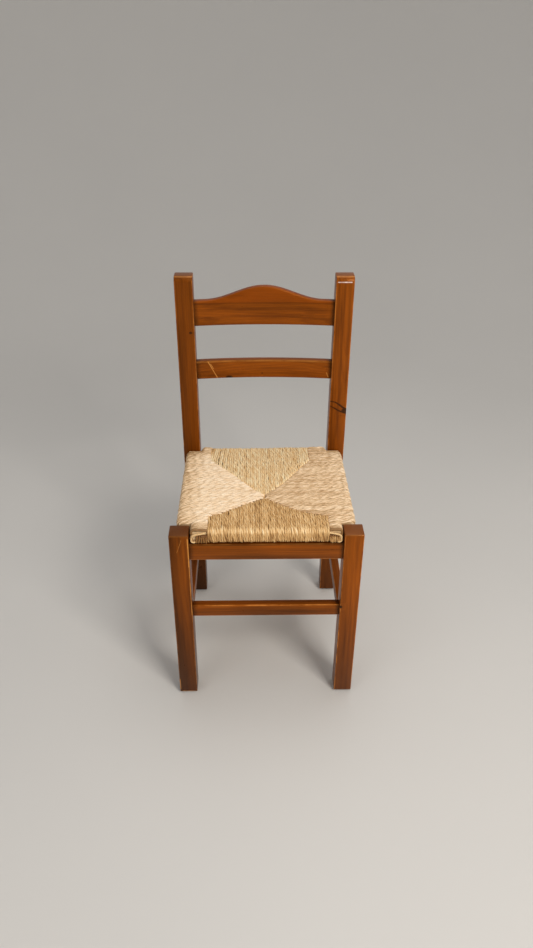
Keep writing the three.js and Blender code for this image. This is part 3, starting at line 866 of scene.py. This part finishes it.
class CordMesh:
    """Gathers many cords into one mesh, with each point's place along and round its cord."""

    def __init__(self, axis):
        self.sideways = np.array(ACROSS[axis])
        self.points = []
        self.faces = []
        self.rounds = []
        self.grooves = []
        self.tones = []
        self.count = 0

    def cord_axes(self, route):
        """The directions across and up from the cord at each point of its route."""
        tangent = np.gradient(route, axis=0)
        tangent /= np.linalg.norm(tangent, axis=1, keepdims=True)
        up = np.cross(tangent, self.sideways)
        up /= np.linalg.norm(up, axis=1, keepdims=True)
        return np.cross(up, tangent), up

    def add_cord(self, route, along, rng, tones, diameter, shade=0.0):
        """A twisted cord of two or three leaves, with painted shade in its grooves; shade adds more
        painted shadow on top.
        """
        across, up = self.cord_axes(route)
        wobble = smooth_noise(along, rng, 60 * MM) * 0.7 * MM
        lift = smooth_noise(along, rng, 45 * MM) * 0.5 * MM
        middle = route + across * wobble[:, None] + up * lift[:, None]
        radius = diameter / 2 * (1 + 0.1 * smooth_noise(along, rng, 34 * MM))
        start = rng.uniform(0, 2 * math.pi)
        turn = start + 2 * math.pi * along / (TWIST * rng.uniform(0.8, 1.3))
        leaf_count = rng.choice((2, 3))
        around = np.linspace(0, 2 * math.pi, CORD_SIDES, endpoint=False)
        own = around[None, :] - turn[:, None]
        swell = 1 + (0.36 / leaf_count) * np.cos(leaf_count * own) + 0.05 * np.cos(own + start)
        reach = radius[:, None] * swell
        ring = middle[:, None, :]
        ring = ring + across[:, None, :] * (reach * np.cos(around)[None, :])[:, :, None]
        ring = ring + up[:, None, :] * (reach * np.sin(around)[None, :])[:, :, None]
        self.points.append(ring.reshape(-1, 3))
        run = np.repeat(along[:, None] + start, CORD_SIDES, axis=1)
        self.rounds.append(np.stack([np.cos(own), np.sin(own), run], axis=2).reshape(-1, 3))
        # Painted shade: darker on the sides that face the neighbouring cords and in the hollows between
        # the leaves, more so towards the seat's sides.
        beside = np.repeat(np.abs(np.cos(around))[None, :] ** 3, len(route), axis=0)
        between_leaves = (0.5 - 0.5 * np.cos(leaf_count * own)) ** 2
        depth = 0.9 + 0.35 * rise(np.abs(route[:, 0]) / SEAT_HIGH.x, 0.7, 0.25)
        grooves = np.maximum(0.5 * beside, between_leaves) * depth[:, None]
        self.grooves.append((grooves + np.reshape(shade, (-1, 1))).ravel())
        self.tones.append(np.repeat(tones, CORD_SIDES))
        self.add_faces(len(route))

    def add_faces(self, rings):
        """The skin between one cord's rings, and a cap at each of its ends."""
        first = self.count
        last = first + (rings - 1) * CORD_SIDES
        for here in range(first, last, CORD_SIDES):
            after = here + CORD_SIDES
            for side in range(CORD_SIDES):
                beyond = (side + 1) % CORD_SIDES
                self.faces.append((here + side, here + beyond, after + beyond, after + side))
        self.faces.append(tuple(first + side for side in reversed(range(CORD_SIDES))))
        self.faces.append(tuple(last + side for side in range(CORD_SIDES)))
        self.count += rings * CORD_SIDES

    def build(self, name, material):
        piece = add_mesh(name, np.concatenate(self.points).tolist(), self.faces, material)
        rounds = piece.data.attributes.new("cord_round", "FLOAT_VECTOR", "POINT")
        rounds.data.foreach_set("vector", np.concatenate(self.rounds).astype(np.float32).ravel())
        for attribute, values in (("cord_groove_shade", self.grooves), ("cord_tone", self.tones)):
            layer = piece.data.attributes.new(attribute, "FLOAT", "POINT")
            layer.data.foreach_set("value", np.concatenate(values).astype(np.float32))
        return piece


def cord_loop(inner, outer, place, axis, rng, raised):
    """The route of one turn of cord: up out of a seam, over a rail's edge, and back under it.

    inner and outer are its places at the seam and the edge, and place is where it lies in its row.
    """
    radius = CORD / 2
    top = SEAT_TOP - radius + raised
    bottom = SEAT_BOTTOM + radius
    sign = 1 if outer > inner else -1  # of the way outwards
    edge = outer - sign * radius
    seam = inner + sign * rng.uniform(-0.8, 1.0) * MM
    length = abs(edge - seam)
    sink = SEAM_DEPTH if length > SHORT_CORD else SHORT_DEPTH
    flat = [
        (seam - sign * 1.6 * MM, top - sink),
        (seam + sign * 1.4 * MM, top - 0.4 * MM),
        ((seam + edge) / 2, top),
        (edge, top),
        (edge, bottom),
        ((seam + edge) / 2, bottom),
        (seam + sign * 1.4 * MM, bottom + 0.4 * MM),
        (seam - sign * 1.6 * MM, bottom + sink),
    ]
    half_radii = [0, SEAM_BEND, length * 0.4, SEAT_ROLL]
    if axis == "Y":
        corners = [Vector((place, along, height)) for along, height in flat]
    else:
        corners = [Vector((along, place, height)) for along, height in flat]
    route, along = rounded_route(corners, half_radii + half_radii[::-1], CORD_STEP)
    return settled(route), along


def panel(name, axis, loops, material, seed, tones, bend=None):
    """One of the seat's four panels, as a row of cord loops side by side.

    Each loop is its place in the row, its places at the seam and the edge, and how high it lies.
    """
    mesh = CordMesh(axis)
    rng = random.Random(seed)
    for place, inner, outer, raised in loops:
        at = place + rng.uniform(-0.45, 0.45) * MM
        stands = raised + rng.uniform(-0.3, 0.3) * MM
        route, along = cord_loop(inner, outer, at, axis, rng, stands)
        tone = rng.uniform(*tones) + tone_and_painted_light(route)
        if bend is not None:
            bend(route)
        # Painted shadow beside the slits in the front corners.
        shade = slit_shade(route) if axis == "X" else np.zeros(len(route))
        mesh.add_cord(route, along, rng, tone - shade, CORD * rng.uniform(0.9, 1.12), shade)
    return mesh.build(name, material)


def rear_fan(route):
    """Leans the rear panel's cords nearest its left seam outwards, more so towards the seam."""
    nearness = rise(-route[:, 0], 45 * MM, 80 * MM)
    route[:, 0] -= REAR_FAN * nearness * rise(SEAT_HIGH.y - route[:, 1], 0, 65 * MM)


def corner_fan(route, side):
    """Fans a front corner's cord outwards from top to bottom, away from the seam beside it."""
    seam_x = FRONT_SEAM[side][-1][0]
    sunk = rise(SEAT_TOP - route[:, 2], 0, SEAT_TOP - SEAT_BOTTOM)
    reach = (route[:, 0] - seam_x) / (SIGN[side] * FRONT_NOTCH_X - seam_x)
    route[:, 0] -= SIGN[side] * CORNER_LEAN[side] * reach * (1 - sunk)


def closing_route(sign):
    """The route of the cord that closes a front corner's outer end."""
    end_x = sign * (FRONT_NOTCH_X - CORD / 2)
    front = SEAT_LOW.y + CORD / 2 - 1 * MM
    corners = [
        Vector((end_x - sign * 30 * MM, front + 4 * MM, SEAT_TOP - 9 * MM)),
        Vector((end_x - sign * 12 * MM, front, SEAT_TOP - 9.5 * MM)),
        Vector((end_x, front, SEAT_TOP - 14 * MM)),
        Vector((end_x, front, SEAT_BOTTOM + 5 * MM)),
        Vector((end_x - sign * 7 * MM, front, SEAT_BOTTOM + CORD / 2)),
        Vector((end_x - sign * 9 * MM, front + 9 * MM, SEAT_BOTTOM + CORD)),
    ]
    return rounded_route(corners, [0, 5 * MM, 10 * MM, 5 * MM, 4 * MM, 0], CORD_STEP)


def front_corner(side, material, seed):
    """The short front cords below a front corner's slit, and the cord that closes its end."""
    sign = SIGN[side]
    mesh = CordMesh("Y")
    rng = random.Random(seed)
    span = sorted((FRONT_SEAM[side][-1][0], sign * (FRONT_NOTCH_X - CORNER_GAP[side])))
    for place in spread_places(*span, LOOSE_PITCH):
        route, along = cord_loop(FRONT_CORNER_END, SEAT_LOW.y, place, "Y", rng, -CORNER_SLIT)
        tone = rng.uniform(-0.25, 0.05) + tone_and_painted_light(route)
        corner_fan(route, side)
        # Painted shadow in the slit: each cord darker towards its top.
        dark = rise(route[:, 2], SEAT_TOP - CORNER_SLIT - 5 * MM, 4 * MM)
        diameter = CORD * rng.uniform(0.78, 0.98)
        mesh.add_cord(route, along, rng, tone - 0.6 * dark, diameter, 1.3 * dark)
    route, along = closing_route(sign)
    mesh.sideways = np.array(ACROSS["X"])
    mesh.add_cord(settled(route), along, rng, np.full(len(route), 0.12), CORD * 0.8)
    return mesh.build(f"rush_front_corner_{side}", material)


# ---- The rush seat: its materials and pieces ----

# The same rush in two colours: the side panels' paler straw and the front and rear panels' more golden
# straw are partly painted light, for the brighter sheen that cords lying across the view catch.
PALE_STRAW = (linear(184, 145, 98), linear(236, 204, 163), linear(251, 226, 193), linear(255, 244, 224))
GOLDEN_STRAW = (linear(146, 101, 50), linear(217, 173, 113), linear(241, 206, 153), linear(255, 237, 196))
STRAW_PLACES = (0.1, 0.42, 0.68, 0.95)  # of those four colours, from dark to bright
PACKING_MARGIN = 55 * MM  # between the packing and the seat's edges
PACKING_CELLS = 24  # along each of its sides


def rush_cord_material(name, colours, groove_shade_strength):
    """Twisted rush leaf: long fibres that follow the twist, in straw colours, with painted shade in the
    grooves.
    """
    tree = Tree(name)
    round_cord = tree.node("Attribute", output="Vector", attribute_name="cord_round")
    tone = tree.node("Attribute", output="Fac", attribute_name="cord_tone")
    groove = tree.node("Attribute", output="Fac", attribute_name="cord_groove_shade")
    leaves = tree.noise(round_cord, (1.3, 1.3, 14), 2.0, 0.6)
    fibres = tree.noise(round_cord, (3.2, 3.2, 70), 4.0, 0.7)
    patches = tree.noise(round_cord, (0.15, 0.15, 16), 2.0)
    value = tree.strayed(0.5, leaves, 1.15)
    value = tree.strayed(value, fibres, 0.7)
    value = tree.strayed(value, patches, 0.45)
    colour = tree.ramp(tree.math("ADD", value, tone), list(zip(STRAW_PLACES, colours)))
    # Painted shade in the cords' grooves, warmer where it is darkest.
    broken = tree.strayed(groove, fibres, 0.9)
    shadow = tree.remap(broken, 0.35, 1.0, 1.0, 1.0 - groove_shade_strength, smooth=True)
    red, blue = tree.math("POWER", shadow, 0.8), tree.math("POWER", shadow, 1.35)
    relief = tree.math("ADD", fibres, tree.product(leaves, 0.8))
    values = {
        "Base Color": tree.shaded(colour, red, shadow, blue),
        "Roughness": tree.remap(fibres, 0.3, 0.7, 0.42, 0.62),
        "Specular IOR Level": 0.4,
        "Normal": tree.bump(relief, 0.7 * MM, 0.9),
    }
    return tree.surface(values)


def packing_material():
    """The straw packing between the cords, coloured dark: painted shade for the deep gaps between them.
    """
    colours = [(0.3, linear(48, 29, 12)), (0.75, linear(104, 74, 38))]
    waves, detail = (500, 120, 500), (4.0, 0.7)
    relief = (1.0 * MM, 0.8)
    return mottled("rush_packing", waves, detail, colours, (0.75, 0.9), relief=relief)


def seat_packing():
    """The packing between the seat's upper and lower cords, inside its rails."""
    lines = PACKING_CELLS + 1
    xs = np.linspace(PACKING_MARGIN - SEAT_HIGH.x, SEAT_HIGH.x - PACKING_MARGIN, lines)
    ys = np.linspace(SEAT_LOW.y + PACKING_MARGIN, SEAT_HIGH.y - PACKING_MARGIN, lines)
    points = [
        (x, y, base + 0.5 * MM * math.sin(91 * x) * math.cos(83 * y))
        for base in (SEAT_BOTTOM + CORD, SEAT_TOP - 1.8 * CORD)
        for y in ys
        for x in xs
    ]

    def at(layer, row, column):
        return (layer * lines + row) * lines + column

    cells = range(PACKING_CELLS)
    faces = []
    for row in cells:
        for column in cells:
            quad = [(row, column), (row, column + 1), (row + 1, column + 1), (row + 1, column)]
            faces.append(tuple(at(1, *corner) for corner in quad))
            faces.append(tuple(at(0, *corner) for corner in reversed(quad)))
    last = PACKING_CELLS
    rim = [(0, column) for column in cells]
    rim += [(row, last) for row in cells]
    rim += [(last, last - column) for column in cells]
    rim += [(last - row, 0) for row in cells]
    for here, after in zip(rim, rim[1:] + rim[:1]):
        faces.append((at(0, *here), at(0, *after), at(1, *after), at(1, *here)))
    points = settled(np.array(points)).tolist()
    return add_mesh("rush_packing", points, faces, packing_material())


def left_lift(y):
    """The left panel lies on top of its neighbours, except between the rear posts."""
    return 0.7 * SEAM_LIFT if y < REAR_NOTCH_Y else 0.0


def right_lift(y):
    """The right panel lies on top of the front panel and below the rear panel."""
    return SEAM_LIFT * float(np.interp(y, (-0.06, 0.0), (0.6, -0.4)))


def rear_lift(x):
    """The rear panel lies on top of its right neighbour, and beyond its seams under both."""
    if not REAR_LEFT_X < x < REAR_RIGHT_X:
        return -CORD - 0.5 * MM
    return SEAM_LIFT * float(np.interp(x, (0.0, 0.06), (0.0, 1.0)))


def front_panel(material):
    """The front panel's cords, which all lie at the same height."""
    loops = [
        (x, cord_end(FRONT_SEAM, x, FRONT_CORNER_END), SEAT_LOW.y, 0.0)
        for x in spread_places(FRONT_LEFT_X, FRONT_RIGHT_X)
    ]
    return panel("rush_front_panel", "Y", loops, material, 11, (-0.17, 0.0))


def rear_panel(material):
    """The rear panel, and the short cords on both sides of it."""
    places = spread_places(REAR_LEFT_X, REAR_RIGHT_X)
    places += spread_places(-REAR_NOTCH_X, REAR_LEFT_X)
    places += spread_places(REAR_RIGHT_X, REAR_NOTCH_X)
    loops = [
        (x, cord_end(REAR_SEAM, x, REAR_CORNER_END), SEAT_HIGH.y, rear_lift(x)) for x in places
    ]
    return panel("rush_rear_panel", "Y", loops, material, 12, (0.14, 0.3), rear_fan)


def side_panel(side, lift, material, seed, tones):
    """A side panel, with its short cords between the front legs and between the rear posts."""
    places = spread_places(FRONT_NOTCH_Y, REAR_NOTCH_Y)
    places += spread_places(SEAT_LOW.y + FRONT_LIP, FRONT_NOTCH_Y)
    places += spread_places(REAR_NOTCH_Y, SEAT_HIGH.y)
    loops = [(y, side_cord_end(y, side), SIGN[side] * side_edge(y), lift(y)) for y in places]
    return panel(f"rush_{side}_panel", "X", loops, material, seed, tones)


def weave_seat():
    pale = rush_cord_material("rush_pale", PALE_STRAW, 0.5)
    golden = rush_cord_material("rush_golden", GOLDEN_STRAW, 0.45)
    pieces = (
        front_panel(golden),
        rear_panel(golden),
        side_panel("left", left_lift, pale, 21, (0.02, 0.14)),
        front_corner("left", golden, 31),
        side_panel("right", right_lift, pale, 22, (-0.27, -0.1)),
        front_corner("right", golden, 32),
        seat_packing(),
    )
    for piece in pieces:
        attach(piece, BODY)
        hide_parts("rush_seat")


# ---- Floor, wall and light ----

FLOOR_COLOUR = linear(206, 202, 196)
FLOOR_SPREAD = 0.012  # how much lighter and darker its patches are
FLOOR_RADIUS = 1.8
STAGE_CURVE = 2.6  # radius of the bend from floor to backdrop
STAGE_TOP = 4.6
STAGE_SIDES = 48


def stage_rings():
    """The radius and height of each ring of the floor, the bend and the backdrop."""
    rings = [(FLOOR_RADIUS / 2, 0.0), (FLOOR_RADIUS, 0.0)]
    for turn in np.linspace(0, math.pi / 2, 25)[1:]:
        out = FLOOR_RADIUS + STAGE_CURVE * math.sin(turn)
        rings.append((out, STAGE_CURVE * (1 - math.cos(turn))))
    rings.append((FLOOR_RADIUS + STAGE_CURVE, STAGE_TOP))
    return rings


def make_stage():
    """A pale floor that curves up into a backdrop all round, far from the chair."""
    rings = stage_rings()
    points = [(0.0, 0.0, 0.0)]
    sides = range(STAGE_SIDES)
    for radius, height in rings:
        for index in sides:
            turn = 2 * math.pi * index / STAGE_SIDES
            points.append((radius * math.cos(turn), radius * math.sin(turn), height))
    faces = [(0, 1 + index, 1 + (index + 1) % STAGE_SIDES) for index in sides]
    for ring in range(len(rings) - 1):
        inner = 1 + ring * STAGE_SIDES
        outer = inner + STAGE_SIDES
        for index in sides:
            after = (index + 1) % STAGE_SIDES
            faces.append((inner + index, outer + index, outer + after, inner + after))
    patches = [(0.3, times(FLOOR_COLOUR, 1 - FLOOR_SPREAD)), (0.7, times(FLOOR_COLOUR, 1 + FLOOR_SPREAD))]
    material = mottled("pale_floor", (1.3, 1.3, 1.3), (3.0, 0.5), patches, (0.55, 0.7))
    add_mesh("stage", points, faces, material)


def area_light(name, place, target, size, power, colour=(1, 1, 1)):
    data = bpy.data.lights.new(name, "AREA")
    data.size = size
    data.energy = power
    data.color = colour
    lamp = add_object(name, data)
    lamp.location = place
    aim = Vector(target) - Vector(place)
    lamp.rotation_euler = aim.to_track_quat("-Z", "Y").to_euler()


def light_scene():
    world = bpy.data.worlds.new("studio")
    world.use_nodes = True
    background = world.node_tree.nodes["Background"]
    background.inputs["Color"].default_value = (0.92, 0.95, 1.0, 1)
    background.inputs["Strength"].default_value = 0.5
    bpy.context.scene.world = world
    area_light("key", (1.35, -2.1, 2.3), (0, 0, 0.4), 1.0, 62, (1, 0.97, 0.93))
    area_light("top", (0.3, 0.4, 2.9), (0, 0, 0.4), 1.6, 14)
    area_light("fill", (-1.9, -2.2, 1.5), (0, 0, 0.5), 1.6, 12, (0.97, 0.98, 1))


bpy.context.scene.view_settings.view_transform = "Standard"
make_camera()
wood_smoothing = smoothing_group(32)
dress_wood(wood_smoothing)
dress_small_parts(wood_smoothing)
weave_seat()
make_stage()
light_scene()
